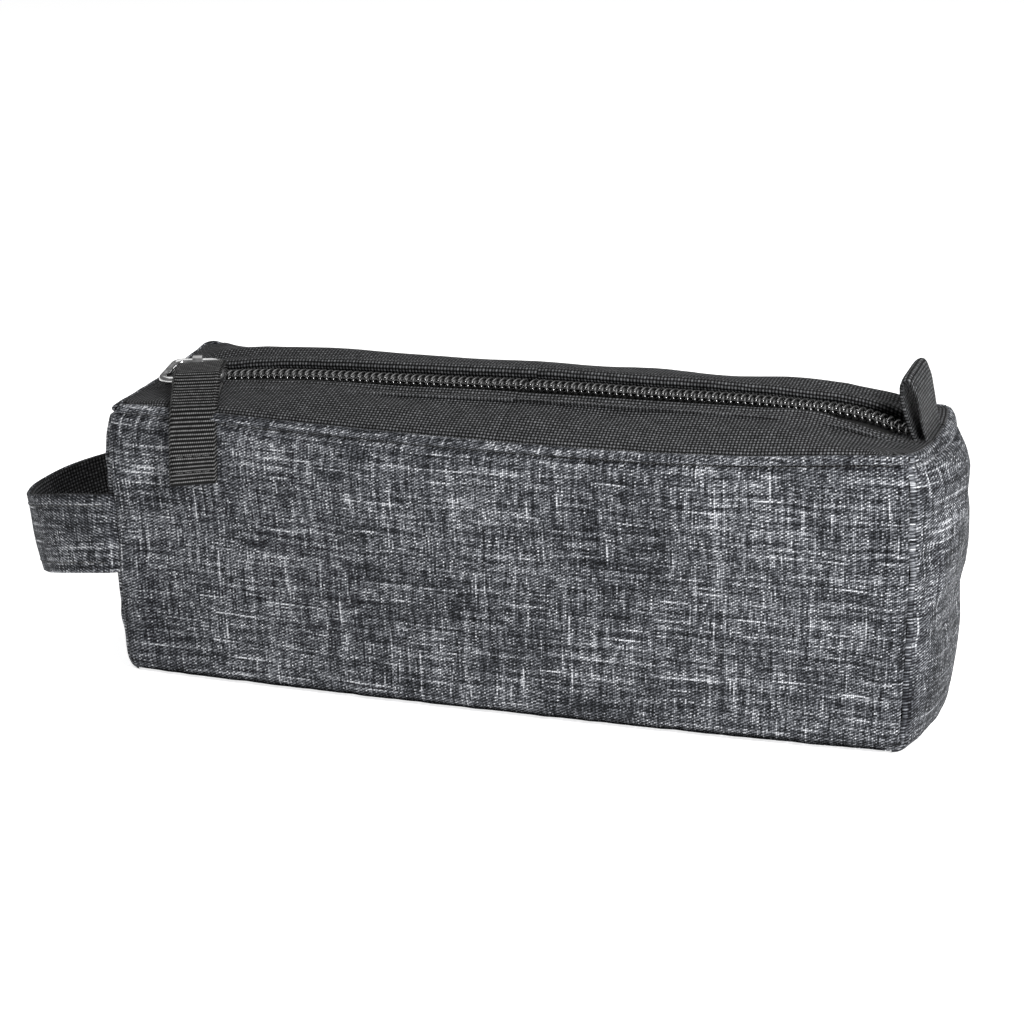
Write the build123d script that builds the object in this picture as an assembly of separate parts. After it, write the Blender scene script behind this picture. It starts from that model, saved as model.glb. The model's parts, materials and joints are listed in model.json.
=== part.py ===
from build123d import *
import os
from math import asin, degrees, sqrt

# A soft zip-up pencil case: a heather fabric box, a black top, a coil zip, a webbing pull and a carry loop.
# X runs along the case, -Y is the front, +Z is up, and the origin is the middle of the base's underside.
# All sizes are in millimetres. Parts of the top are laid out level and then tipped with the top seam.

os.makedirs("parts", exist_ok=True)

# --- The box ---
LENGTH = 202.0  # between the vertical end seams, along X
DEPTH = 48.0  # between the front and back seams, along Y
WALL_HEIGHT = 71.6  # from the base to the top seam, at mid-length
END_BULGE = 3.0  # how far each end panel bows out
SIDE_BULGE = 4.0  # how far the front and back panels bow out
SEAM_RADIUS = 3.0  # rounding of the four upright seams
TOP_TIP_DEG = 1.0  # the right-hand end of the top seam is the higher one

FABRIC = 0.9
STIFFENER = 1.4
LINING = 0.4
WALL = FABRIC + STIFFENER + LINING

# --- Seam tape inside ---
TAPE_RISE = 6.0  # width of the folded seam tape
TAPE_THICK = 1.3
TAPE_CORNER_GAP = 1.0  # from a corner of the lining to the upright tape

# --- The zip: a number 5 nylon coil ---
ZIP_HEIGHT = 73.8  # middle of the coil chain, at mid-length
COIL_PITCH = 1.78
COIL_TOOTH = 0.75  # width of one tooth along the chain
COIL_HEIGHT = 2.4
COIL_BACK = 3.2  # outer edge of a coil from the chain's centre line
COIL_SPINE = 1.3  # width of the continuous back of a coil
COIL_NOSE = 0.45  # how far a tooth reaches past the centre line
CHAIN_START = -90.4
CHAIN_END = 91.0
NECK_GAP = 2.0  # the tapes stand this far off the centre line where the slider has parted them
NECK_SPREAD = 2.4  # length over which they part
TOP_STOP_X = -95.3
TOP_STOP_LENGTH = 1.8
TOP_STOP_WIDTH = 2.4
BOTTOM_STOP_LENGTH = 2.4
STOP_ROUNDING = 0.5
TAPE_CLEARANCE = 0.1  # from the tape's parted edge to the top stop
ZIP_TAPE = 0.5
TAPE_INNER = 0.5  # edge of the zip tape from the centre line
TAPE_OUTER = 9.5
STRIP_EDGE = 6.5  # folded edge of the black strip from the centre line
LIP_START = -96.5
LIP_END = CHAIN_END

# --- The slider ---
SLIDER_X = -88.5  # middle of the slider when the zip is shut
SLIDER_LENGTH = 9.8
SLIDER_WIDTH = 9.2
SLIDER_WING = 0.9
SLIDER_TAPER = 1.0  # the tail is this much narrower on each side
SLIDER_ROUNDING = 2.0  # corners at the nose
SLIDER_PLAY = 0.25
SLIDER_NECK_LENGTH = 1.9
SLIDER_NECK_WIDTH = 2.0
SLIDER_NECK_INSET = 0.6  # from the nose to the neck
EYE_RADIUS = 1.8
EYE_HOLE = 1.15
EYE_LENGTH = 2.4
EYE_FOOT = 3.0  # width of the eye's foot on the upper wing
EYE_RISE = 1.45  # centre of the eye above the upper wing

# --- The pull: a wire ring and a webbing strap ---
PULL_TURN_DEG = 16.0  # the ring points this far off square, towards the right
WIRE_RADIUS = 1.0
RING_REACH = 14.0  # from the far bar to the near bar
RING_FAR_HALF = 5.5
RING_NEAR_HALF = 7.7
RING_BEND = 2.5
RING_DROP = 1.2  # the near bar lies this much lower
STRAP_HALF = 5.8
STRAP_THICK = 1.2
STRAP_FACE = 34.0  # outer face of the hanging strap, from the slider along the pull
STRAP_BOTTOM = 53.0
STRAP_STITCH_RISE = 3.0
STRAP_LAYER_GAP = 0.1
OVER_EDGE = 1.6  # the strap's underside clears the top seam by this much
SHOULDER = 1.4  # bevel of the strap's outer face where it turns down
FOLD_BACK = 5.7  # how far the strap's fold reaches behind the near bar
FOLD_FLAT = 3.5  # the fold is flat this far on either side of the near bar

# --- Carry loop on the left end ---
LOOP_WIDTH = 20.0
LOOP_REACH = 34.5
LOOP_LAYER = 0.9
LOOP_HEIGHT = 36.5  # middle of the sewn ends above the base
LOOP_DROOP_DEG = 13.0
LOOP_STITCH_INSET = 2.0
LOOP_SEWN = 4.0  # the loop's arms reach this far past the end seam

# --- Tab at the right end of the zip ---
TAB_WIDTH = 15.0
TAB_HEIGHT = 15.5
TAB_RADIUS = 1.3
TAB_LAYER = 0.8
TAB_X = 99.3
TAB_LEAN_DEG = 12.0
TAB_GAP = 0.1  # between the tab's foot and the top

# --- Sewing thread ---
THREAD = 0.3
STITCH = 0.45
TOPSTITCH_DROP = 2.5  # the panels' topstitch lies this far under the top seam

FAR = 400.0  # larger than the whole case, for cutting
ABOVE = 120.0  # higher than the tipped top seam

HALF_LENGTH = LENGTH / 2
HALF_DEPTH = DEPTH / 2
SEAM_X = HALF_LENGTH - SEAM_RADIUS
BOWED_DEPTH = HALF_DEPTH + SIDE_BULGE
TAPE_TOP = ZIP_HEIGHT - COIL_HEIGHT / 2
TAPE_BOTTOM = TAPE_TOP - ZIP_TAPE
WING_TOP = ZIP_HEIGHT + COIL_HEIGHT / 2 + SLIDER_PLAY + SLIDER_WING
EYE_HEIGHT = WING_TOP + EYE_RISE
NEAR_BAR_HEIGHT = EYE_HEIGHT - RING_DROP
NEAR_BAR_OUT = sqrt(RING_REACH**2 - RING_DROP**2)
RING_SLOPE_DEG = degrees(asin(RING_DROP / RING_REACH))


def tip(shape):
    """Tip a piece of the top with the top seam, about the middle of that seam."""
    seam = Pos(0, 0, WALL_HEIGHT)
    return seam * Rot(0, -TOP_TIP_DEG, 0) * Pos(0, 0, -WALL_HEIGHT) * shape


def block(x0, x1, y0, y1, z0, z1):
    """A box given by its two corners."""
    middle = Pos((x0 + x1) / 2, (y0 + y1) / 2, (z0 + z1) / 2)
    return middle * Box(x1 - x0, y1 - y0, z1 - z0)


def prism_along_x(points, x0, x1):
    """A solid with a polygon of (y, z) points as its section, from x0 to x1."""
    section = make_face(Polyline(*points, close=True))
    return extrude(Plane((x0, 0, 0), x_dir=(0, 1, 0), z_dir=(1, 0, 0)) * section, x1 - x0)


def outline(inset):
    """Plan of the case: four shallow arcs with rounded corners, moved in by inset."""
    x = HALF_LENGTH - inset
    y = HALF_DEPTH - inset
    front = ThreePointArc((-x, -y), (0, -y - SIDE_BULGE), (x, -y))
    right = ThreePointArc((x, -y), (x + END_BULGE, 0), (x, y))
    back = ThreePointArc((x, y), (0, y + SIDE_BULGE), (-x, y))
    left = ThreePointArc((-x, y), (-x - END_BULGE, 0), (-x, -y))
    face = make_face(front + right + back + left)
    return fillet(face.vertices(), max(SEAM_RADIUS - inset, STIFFENER / 2))


def slab(inset, z0, z1):
    """The plan outline as a plate between two heights."""
    return Pos(0, 0, z0) * extrude(outline(inset), z1 - z0)


def under_top_seam(shape):
    """Cut a wall off along the top seam."""
    above = block(-FAR, FAR, -FAR, FAR, WALL_HEIGHT, FAR)
    return shape - tip(above)


def wall_ring(inset, thickness, z0):
    """One layer of the four walls as a closed ring, up to the top seam."""
    return under_top_seam(slab(inset, z0, ABOVE) - slab(inset + thickness, z0, ABOVE))


WALL_SIDES = {
    "front": block(-SEAM_X, SEAM_X, -FAR, 0, -FAR, FAR),
    "back": block(-SEAM_X, SEAM_X, 0, FAR, -FAR, FAR),
    "left_end": block(-FAR, -SEAM_X, -FAR, FAR, -FAR, FAR),
    "right_end": block(SEAM_X, FAR, -FAR, FAR, -FAR, FAR),
}


def case_layer(suffix, inset, thickness, floor):
    """One layer of the box, cut at its seams: four walls and a base."""
    ring = wall_ring(inset, thickness, floor + thickness)
    pieces = {f"{side}_{suffix}": ring & region for side, region in WALL_SIDES.items()}
    pieces[f"base_{suffix}"] = slab(inset, floor, floor + thickness)
    return pieces


def base_seam_tape():
    """Folded tape that covers the seam between base and walls, inside."""
    return slab(WALL, WALL, WALL + TAPE_RISE) - slab(WALL + TAPE_THICK, WALL, WALL + TAPE_RISE)


def corner_seam_tape(side_x, side_y):
    """Folded tape on one upright seam: a fin that points into the case from its corner."""
    bottom = WALL + TAPE_RISE
    top = WALL_HEIGHT - TAPE_RISE
    outer = TAPE_CORNER_GAP
    fin = block(outer, outer + TAPE_RISE, -TAPE_THICK / 2, TAPE_THICK / 2, bottom, top)
    turn = {(1, 1): 225, (-1, 1): 315, (-1, -1): 45, (1, -1): 135}[(side_x, side_y)]
    corner = Pos(side_x * (HALF_LENGTH - WALL), side_y * (HALF_DEPTH - WALL), 0)
    return corner * Rot(0, 0, turn) * fin


def edge_topstitch(side_y):
    """A row of stitches just under the top seam, on the front or back panel."""
    z1 = WALL_HEIGHT - TOPSTITCH_DROP
    level = tip(block(-FAR, FAR, -FAR, FAR, z1 - STITCH, z1))
    skin = slab(-THREAD, 0, ABOVE) - slab(0, 0, ABOVE)
    side = WALL_SIDES["front"] if side_y < 0 else WALL_SIDES["back"]
    return skin & level & side


def zip_end(side_x):
    """The short stretch of black top past the end of the zip."""
    plate = slab(0, WALL_HEIGHT, WALL_HEIGHT + FABRIC)
    if side_x < 0:
        return tip(plate & block(-FAR, LIP_START - LINING, -FAR, FAR, 0, FAR))
    return tip(plate & block(LIP_END + LINING, FAR, -FAR, FAR, 0, FAR))


def bottom_stop():
    """Metal clamp that joins the two coils where the zip starts."""
    x0 = LIP_END + 2 * LINING
    z0 = WALL_HEIGHT + FABRIC
    clamp = block(x0, x0 + BOTTOM_STOP_LENGTH, -COIL_BACK, COIL_BACK, z0, z0 + COIL_HEIGHT)
    return tip(fillet(clamp.edges().filter_by(Axis.X), STOP_ROUNDING))


def mirrored(shape, side_y):
    """The piece as drawn for the front (side_y -1), or its mirror image for the back."""
    return shape if side_y < 0 else mirror(shape, about=Plane.XZ)


def top_strip(side_y):
    """Black strip from the bowed top seam up to the zip tape, drawn for the front."""
    outer_y = -BOWED_DEPTH - FABRIC
    lower = [(outer_y, WALL_HEIGHT + THREAD / 2), (-TAPE_OUTER, TAPE_TOP), (-STRIP_EDGE, TAPE_TOP)]
    upper = [(y, z + FABRIC) for y, z in reversed(lower)]
    strip = prism_along_x(lower + upper, LIP_START, LIP_END) & slab(THREAD, 0, FAR)
    return tip(mirrored(strip, side_y))


def zip_tape(side_y):
    """Woven tape under one coil; its inner edge spreads round the slider's neck."""
    parted = CHAIN_START - 2 * NECK_SPREAD / 3
    plan = Polyline(
        (LIP_START, -NECK_GAP),
        (parted, -NECK_GAP),
        (parted + NECK_SPREAD, -TAPE_INNER),
        (LIP_END, -TAPE_INNER),
        (LIP_END, -TAPE_OUTER),
        (LIP_START, -TAPE_OUTER),
        close=True,
    )
    return tip(mirrored(Pos(0, 0, TAPE_BOTTOM) * extrude(make_face(plan), ZIP_TAPE), side_y))


def zip_coil(side_y):
    """One coil as a comb: a continuous back with teeth that reach past the centre line."""
    back_y = -COIL_BACK
    root_y = -COIL_BACK + COIL_SPINE
    offset = 0 if side_y < 0 else COIL_PITCH / 2
    first = CHAIN_START + STITCH + offset
    count = int((CHAIN_END - first - COIL_TOOTH) / COIL_PITCH)
    points = [(CHAIN_START, back_y), (CHAIN_START, root_y)]
    for i in range(count + 1):
        x = first + i * COIL_PITCH
        points += [(x, root_y), (x, COIL_NOSE), (x + COIL_TOOTH, COIL_NOSE), (x + COIL_TOOTH, root_y)]
    points += [(CHAIN_END, root_y), (CHAIN_END, back_y)]
    comb = extrude(make_face(Polyline(*points, close=True)), COIL_HEIGHT)
    return tip(mirrored(Pos(0, 0, TAPE_TOP) * comb, side_y))


def strip_topstitch(side_y):
    """Stitches that hold the strip's folded edge to the zip tape."""
    y = -(STRIP_EDGE + TAPE_OUTER) / 2
    z = TAPE_TOP + FABRIC
    row = block(LIP_START + 1, LIP_END - 1, y - STITCH / 2, y + STITCH / 2, z, z + THREAD)
    return tip(mirrored(row, side_y))


def top_stop(side_y):
    """Small clamp on the tape that stops the slider when the zip is shut."""
    x0 = TOP_STOP_X - TOP_STOP_LENGTH / 2
    y1 = -NECK_GAP - TAPE_CLEARANCE
    top = TAPE_TOP + COIL_HEIGHT - THREAD
    clamp = block(x0, x0 + TOP_STOP_LENGTH, y1 - TOP_STOP_WIDTH, y1, TAPE_TOP, top)
    return tip(mirrored(fillet(clamp.edges().filter_by(Axis.X), STOP_ROUNDING), side_y))


def at_slider(shape):
    """Place a piece drawn about the slider's middle, and tip it with the top."""
    return tip(Pos(SLIDER_X, 0, 0) * shape)


def at_pull(shape):
    """Place a piece of the pull: drawn with -Y as the pull's direction, then turned."""
    return at_slider(Rot(0, 0, PULL_TURN_DEG) * shape)


def slider_wing(z0):
    """One wing of the slider: narrower at the closed end of the chain."""
    x = SLIDER_LENGTH / 2
    y = SLIDER_WIDTH / 2
    tail = y - SLIDER_TAPER
    plan = make_face(Polyline((-x, -y), (0, -y), (x, -tail), (x, tail), (0, y), (-x, y), close=True))
    plan = fillet(plan.vertices().sort_by(Axis.X)[:2], SLIDER_ROUNDING)
    return Pos(0, 0, z0) * extrude(plan, SLIDER_WING)


def zip_slider():
    """Slider: two wings, the neck between them and the eye that holds the ring."""
    upper = slider_wing(WING_TOP - SLIDER_WING)
    lower_z = TAPE_BOTTOM - SLIDER_PLAY - SLIDER_WING
    lower = slider_wing(lower_z)
    neck_x = -SLIDER_LENGTH / 2 + SLIDER_NECK_INSET
    half = SLIDER_NECK_WIDTH / 2
    neck = block(
        neck_x,
        neck_x + SLIDER_NECK_LENGTH,
        -half,
        half,
        lower_z + SLIDER_WING,
        WING_TOP - SLIDER_WING,
    )
    body = upper + lower + fillet(neck.edges().filter_by(Axis.Z), SLIDER_NECK_INSET)
    barrel = Pos(0, 0, EYE_HEIGHT) * Rot(0, 90, 0) * Cylinder(EYE_RADIUS, EYE_LENGTH)
    half_foot = EYE_FOOT / 2
    base = WING_TOP - SLIDER_PLAY
    foot = block(-EYE_LENGTH / 2, EYE_LENGTH / 2, -half_foot, half_foot, base, EYE_HEIGHT)
    bore = Pos(0, 0, EYE_HEIGHT) * Rot(0, 90, 0) * Cylinder(EYE_HOLE, SLIDER_LENGTH)
    eye = Rot(0, 0, PULL_TURN_DEG) * (barrel + foot - bore)
    return at_slider(body + eye)


def pull_ring():
    """Wire ring: wider at the near bar, where the strap is threaded."""
    corners = [
        (-RING_FAR_HALF, 0),
        (-RING_NEAR_HALF, -RING_REACH),
        (RING_NEAR_HALF, -RING_REACH),
        (RING_FAR_HALF, 0),
    ]
    path = FilletPolyline(*corners, radius=RING_BEND, close=True)
    wire = sweep((path ^ 0) * Circle(WIRE_RADIUS), path=path)
    slope = Rot(RING_SLOPE_DEG, 0, 0)
    return at_pull(Pos(0, 0, EYE_HEIGHT) * slope * wire)


def pull_strap():
    """Webbing folded over the near bar, with both layers sewn together as they hang down in front."""
    face = -STRAP_FACE
    inner = face + 2 * STRAP_THICK + STRAP_LAYER_GAP
    seam = WALL_HEIGHT + OVER_EDGE
    low = NEAR_BAR_HEIGHT - WIRE_RADIUS - THREAD - STRAP_THICK
    high = NEAR_BAR_HEIGHT + WIRE_RADIUS + THREAD + STRAP_THICK
    bar = -NEAR_BAR_OUT
    outer_side = [
        (face, STRAP_BOTTOM),
        (face, seam - SHOULDER),
        (face + SHOULDER, seam + SHOULDER / 2),
        (bar - FOLD_FLAT - SHOULDER, high - THREAD),
        (bar + FOLD_FLAT, high),
        (bar + FOLD_BACK, NEAR_BAR_HEIGHT),
    ]
    under_side = [
        (bar + FOLD_FLAT, low),
        (bar - FOLD_FLAT, low),
        (bar - FOLD_FLAT - SHOULDER, low + STRAP_THICK),
        (inner + SHOULDER / 2, seam),
        (inner, seam - SHOULDER),
        (inner, STRAP_BOTTOM),
    ]
    slack = FOLD_BACK - STRAP_THICK - THREAD
    cavity = block(
        -STRAP_HALF,
        STRAP_HALF,
        bar - slack,
        bar + slack,
        low + STRAP_THICK,
        high - STRAP_THICK,
    )
    cavity = fillet(cavity.edges().filter_by(Axis.X), WIRE_RADIUS)
    band = prism_along_x(outer_side + under_side, -STRAP_HALF, STRAP_HALF)
    return at_pull(band - cavity)


def strap_stitch():
    """Cross-row of stitches near the strap's lower end."""
    z = STRAP_BOTTOM + STRAP_STITCH_RISE
    half = STRAP_HALF - STITCH
    row = block(-half, half, -STRAP_FACE - THREAD, -STRAP_FACE, z, z + STITCH)
    return at_pull(row)


def at_loop(shape):
    """Hang a piece of the carry loop from the left end, drooping a little."""
    pivot = Pos(-HALF_LENGTH, 0, LOOP_HEIGHT)
    drooped = pivot * Rot(0, -LOOP_DROOP_DEG, 0) * shape
    return drooped - slab(0, 0, WALL_HEIGHT)


def loop_layer(inset, thickness, half_width, z_mid=0.0):
    """One layer of the carry loop: half an elliptical band beyond the end seam."""
    outer = Ellipse(LOOP_REACH - inset, HALF_DEPTH - THREAD - inset)
    inner = Ellipse(LOOP_REACH - inset - thickness, HALF_DEPTH - THREAD - inset - thickness)
    band = Pos(0, 0, z_mid - half_width) * extrude(outer - inner, 2 * half_width)
    return band & block(-FAR, LOOP_SEWN, -FAR, FAR, -FAR, FAR)


def loop_stitch(side_z):
    """A row of stitches along one edge of the carry loop."""
    z_mid = side_z * (LOOP_WIDTH / 2 - LOOP_STITCH_INSET)
    row = loop_layer(-THREAD, THREAD, STITCH / 2, z_mid)
    return row & block(-FAR, -LOOP_STITCH_INSET, -FAR, FAR, -FAR, FAR)


def carry_loop():
    """The two layers of the carry loop and its two rows of stitches."""
    half = LOOP_WIDTH / 2
    return {
        "carry_loop_outer": at_loop(loop_layer(0, LOOP_LAYER, half)),
        "carry_loop_backing": at_loop(loop_layer(LOOP_LAYER, LOOP_LAYER, half)),
        "carry_loop_topstitch": at_loop(loop_stitch(-1)) + at_loop(loop_stitch(1)),
    }


def end_tab():
    """Fabric tab folded double, standing up from the end seam and leaning over the zip."""
    height = TAB_HEIGHT + TAB_RADIUS
    side = Pos(0, height / 2 - TAB_RADIUS) * Rot(0, 0, 90)
    fold = side * SlotOverall(height, 2 * TAB_RADIUS)
    gap = side * SlotOverall(height - 2 * TAB_LAYER, 2 * (TAB_RADIUS - TAB_LAYER))
    upright = Plane((0, TAB_WIDTH / 2, 0), x_dir=(1, 0, 0), z_dir=(0, -1, 0))
    tab = extrude(upright * (fold - gap), TAB_WIDTH)
    z = WALL_HEIGHT + FABRIC + TAB_RADIUS + TAB_GAP
    return tip(Pos(TAB_X, 0, z) * Rot(0, -TAB_LEAN_DEG, 0) * tab)


nodes = {}
nodes.update(case_layer("panel", 0, FABRIC, 0))
nodes.update(case_layer("stiffener", FABRIC, STIFFENER, FABRIC))
nodes.update(case_layer("lining", FABRIC + STIFFENER, LINING, FABRIC + STIFFENER))
nodes["base_seam_tape"] = base_seam_tape()
for side_x, name_x in ((-1, "left"), (1, "right")):
    for side_y, name_y in ((-1, "front"), (1, "back")):
        nodes[f"{name_y}_{name_x}_seam_tape"] = corner_seam_tape(side_x, side_y)
    nodes[f"{name_x}_zip_end"] = zip_end(side_x)
for side_y, name_y in ((-1, "front"), (1, "back")):
    nodes[f"{name_y}_edge_topstitch"] = edge_topstitch(side_y)
    nodes[f"{name_y}_top_strip"] = top_strip(side_y)
    nodes[f"{name_y}_zip_tape"] = zip_tape(side_y)
    nodes[f"{name_y}_zip_coil"] = zip_coil(side_y)
    nodes[f"{name_y}_strip_topstitch"] = strip_topstitch(side_y)
    nodes[f"{name_y}_top_stop"] = top_stop(side_y)
nodes["zip_bottom_stop"] = bottom_stop()
nodes["zip_slider"] = zip_slider()
nodes["pull_ring"] = pull_ring()
nodes["pull_strap"] = pull_strap()
nodes["pull_strap_stitch"] = strap_stitch()
nodes.update(carry_loop())
nodes["end_tab"] = end_tab()

for name, shape in nodes.items():
    export_step(shape, f"parts/{name}.step")
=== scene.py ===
import json
import math

import bmesh
import bpy
import numpy as np
from mathutils import Matrix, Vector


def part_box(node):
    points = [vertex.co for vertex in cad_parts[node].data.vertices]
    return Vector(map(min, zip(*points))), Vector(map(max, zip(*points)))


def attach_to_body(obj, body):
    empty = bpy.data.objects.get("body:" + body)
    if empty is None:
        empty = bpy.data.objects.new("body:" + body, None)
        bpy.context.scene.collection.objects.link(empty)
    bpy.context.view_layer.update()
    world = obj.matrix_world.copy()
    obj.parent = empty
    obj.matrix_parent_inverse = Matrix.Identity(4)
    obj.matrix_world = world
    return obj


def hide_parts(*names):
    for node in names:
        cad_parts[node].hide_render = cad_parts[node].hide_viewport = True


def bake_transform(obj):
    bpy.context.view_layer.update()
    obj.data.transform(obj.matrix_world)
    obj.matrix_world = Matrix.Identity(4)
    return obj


# A soft zip-up pencil case, built round the CAD frame. Shapes are worked out in millimetres, in the frame's
# own axes, and turned into metres when a mesh is made. -Y is the front, +X the end with the tab.

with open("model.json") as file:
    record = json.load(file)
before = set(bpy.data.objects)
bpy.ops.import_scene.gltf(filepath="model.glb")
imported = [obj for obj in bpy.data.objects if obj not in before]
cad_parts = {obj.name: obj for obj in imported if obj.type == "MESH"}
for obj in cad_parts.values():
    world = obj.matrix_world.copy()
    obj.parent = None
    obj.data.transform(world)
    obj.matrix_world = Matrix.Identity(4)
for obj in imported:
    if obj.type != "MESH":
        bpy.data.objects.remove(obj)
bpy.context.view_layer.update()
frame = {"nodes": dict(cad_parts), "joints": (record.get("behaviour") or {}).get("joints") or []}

MM = 0.001
UP = np.array([0, 0, 1.0])

# The box of cloth, in millimetres.
SEAM_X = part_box("front_panel")[1][0] / MM + 3.0  # the upright seams lie just past the ends of the flat panel
SEAM_Y = 24.0
WALL_TOP = 71.6
CLOTH = 0.7  # thickness
SEAM_ROLL = 1.3  # radius of the turned edges along the upright seams
BASE_ROLL = 4.0
TOP_ROLL = 1.1


# ---- Curves and meshes ----


def unit(vectors):
    """The same vectors with length 1."""
    return vectors / np.maximum(np.linalg.norm(vectors, axis=-1, keepdims=True), 1e-9)


def smooth(knots, at):
    """A smooth curve through (position, value) knots, read at some positions."""
    x, y = np.array(knots, float).T
    at = np.asarray(at, float)
    slope = np.gradient(y, x)
    i = np.clip(np.searchsorted(x, at) - 1, 0, len(x) - 2)
    h = x[i + 1] - x[i]
    t = np.clip((at - x[i]) / h, 0, 1)
    rising = y[i + 1] * t * t * (3 - 2 * t) + y[i] * (1 + 2 * t) * (1 - t) ** 2
    return rising + h * t * (1 - t) * (slope[i] * (1 - t) - slope[i + 1] * t)


def run_length(path):
    """Distance along a line of points."""
    steps = np.linalg.norm(np.diff(path, axis=0), axis=1)
    return np.concatenate([[0], np.cumsum(steps)])


def read_along(at, along, values):
    """Rows of values that are known at some distances along a line, read at other distances."""
    return np.stack([np.interp(at, along, column) for column in values.T], axis=1)


def curve_through(points, count):
    """Points spread evenly along a smooth line through some points."""
    points = np.array(points, float)
    along = run_length(points)
    fine = np.linspace(0, along[-1], 40 * len(points))
    dense = np.stack([smooth(list(zip(along, c)), fine) for c in points.T], axis=1)
    length = run_length(dense)
    return read_along(np.linspace(0, length[-1], count), length, dense)


def lattice(x, y):
    """A grid of all the pairs of two rows of numbers."""
    return np.stack(np.meshgrid(x, y, indexing="ij"), axis=-1)


def bell(value, middle, width):
    """A smooth bump that is 1 at its middle."""
    return np.exp(-(((value - middle) / width) ** 2))


def ripples(at, seed, wavelengths):
    """A fixed, uneven wave of height about 1, from a few sines."""
    dice = np.random.default_rng(seed)
    total = np.zeros_like(np.asarray(at, float))
    for wavelength in wavelengths:
        total += np.sin(2 * math.pi * at / wavelength + dice.uniform(0, 2 * math.pi))
    return total / len(wavelengths)


def swell(u, v, seed, low=38.0, high=95.0):
    """Broad uneven waves over a surface, of height about 1."""
    count = 7
    dice = np.random.default_rng(seed)
    total = np.zeros(np.broadcast(u, v).shape)
    for _ in range(count):
        angle, phase = dice.uniform(0, math.pi), dice.uniform(0, 2 * math.pi)
        size = dice.uniform(low, high)
        total += np.sin(2 * math.pi * (u * math.cos(angle) + v * math.sin(angle)) / size + phase)
    return total / math.sqrt(count)


def normals(grid):
    """Unit normals of a grid of points."""
    return unit(np.cross(np.gradient(grid, axis=0), np.gradient(grid, axis=1)))


def make_piece(name, points, faces, uv, material):
    """A smooth-shaded object from points in millimetres, with its cloth coordinates in millimetres."""
    mesh = bpy.data.meshes.new(name)
    mesh.from_pydata((np.asarray(points) * MM).tolist(), [], faces)
    layer = mesh.uv_layers.new(name="cloth")
    loops = np.zeros(len(mesh.loops), np.int32)
    mesh.loops.foreach_get("vertex_index", loops)
    layer.data.foreach_set("uv", np.asarray(uv, np.float32)[loops].ravel())
    mesh.shade_smooth()
    mesh.materials.append(material)
    piece = bpy.data.objects.new(name, mesh)
    bpy.context.scene.collection.objects.link(piece)
    return piece


def grid_faces(rows, columns, close=False):
    """Faces of a grid of points, numbered row by row. close joins the last column to the first."""
    faces = []
    for i in range(rows - 1):
        near, far = i * columns, (i + 1) * columns
        for j in range(columns if close else columns - 1):
            k = (j + 1) % columns
            faces.append((near + j, near + k, far + k, far + j))
    return faces


def surface(name, grid, uv, material):
    """A piece that is a single open surface."""
    rows, columns = grid.shape[:2]
    return make_piece(name, grid.reshape(-1, 3), grid_faces(rows, columns), uv.reshape(-1, 2), material)


def rim_faces(ring, rim, width):
    """Faces that close the end of a sheet: from the ring of points round it to the line of its rim."""
    faces = []
    for j in range(width - 1):
        a, b = rim + j, rim + j + 1
        faces.append((ring + j, ring + j + 1, b, a))
        faces.append((ring + 2 * width - j - 1, ring + 2 * width - j, a, b))
    last = ring + 2 * width + 1
    faces.append((ring, rim, ring + 2 * width, last))
    faces.append((ring + width - 1, ring + width, ring + width + 1, rim + width - 1))
    return faces


def sheet_solid(grid, uv, thickness):
    """Points, faces and cloth coordinates of a closed sheet about a grid of points, with rounded edges."""
    half = np.broadcast_to(np.asarray(thickness, float), grid.shape[:2])[..., None] / 2
    n = normals(grid) * half
    along = unit(np.gradient(grid, axis=0)) * half
    across = unit(np.gradient(grid, axis=1)) * half
    left, right = grid[:, :1] - across[:, :1], grid[:, -1:] + across[:, -1:]
    ring = np.concatenate([grid + n, right, (grid - n)[:, ::-1], left], axis=1)
    edge = [0, half.mean()]
    ring_uv = np.concatenate([uv, uv[:, -1:] + edge, uv[:, ::-1], uv[:, :1] - edge], axis=1)
    rows, columns = ring.shape[:2]
    width = grid.shape[1]
    rims = [grid[0] - along[0], grid[-1] + along[-1]]
    points = np.concatenate([ring.reshape(-1, 3), *rims])
    uvs = np.concatenate([ring_uv.reshape(-1, 2), uv[0], uv[-1]])
    faces = [face[::-1] for face in grid_faces(rows, columns, close=True)]
    faces += rim_faces(0, rows * columns, width)
    faces += [face[::-1] for face in rim_faces((rows - 1) * columns, rows * columns + width, width)]
    return points, faces, uvs


def thick_sheet(name, grid, uv, thickness, material):
    """A piece that is one closed sheet."""
    return joined(name, [sheet_solid(grid, uv, thickness)], material)


def tube(path, radius, sides=8):
    """Points, faces and cloth coordinates of a round cord along a path, closed at both ends."""
    path = np.asarray(path, float)
    radius = np.broadcast_to(radius, len(path))
    tangent = unit(np.gradient(path, axis=0))
    side = np.cross(tangent[0], [0.2, 0.3, 1.0])
    angles = np.linspace(0, 2 * math.pi, sides, endpoint=False)
    rings, uvs = [], []
    for p, t, r, u in zip(path, tangent, radius, run_length(path)):
        side = unit(side - t * (side @ t))
        ring = np.cos(angles)[:, None] * side + np.sin(angles)[:, None] * np.cross(t, side)
        rings.append(p + r * ring)
        uvs.append(np.stack([np.full(sides, u), angles * r], axis=1))
    faces = grid_faces(len(path), sides, close=True)
    faces.append(tuple(range(sides))[::-1])
    faces.append(tuple(range((len(path) - 1) * sides, len(path) * sides)))
    return np.concatenate(rings), faces, np.concatenate(uvs)


def joined(name, parts, material):
    """One piece from several (points, faces, cloth coordinates)."""
    points, faces, uvs, count = [], [], [], 0
    for p, f, uv in parts:
        points.append(p)
        uvs.append(uv)
        faces += [tuple(i + count for i in face) for face in f]
        count += len(p)
    return make_piece(name, np.concatenate(points), faces, np.concatenate(uvs), material)


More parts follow.
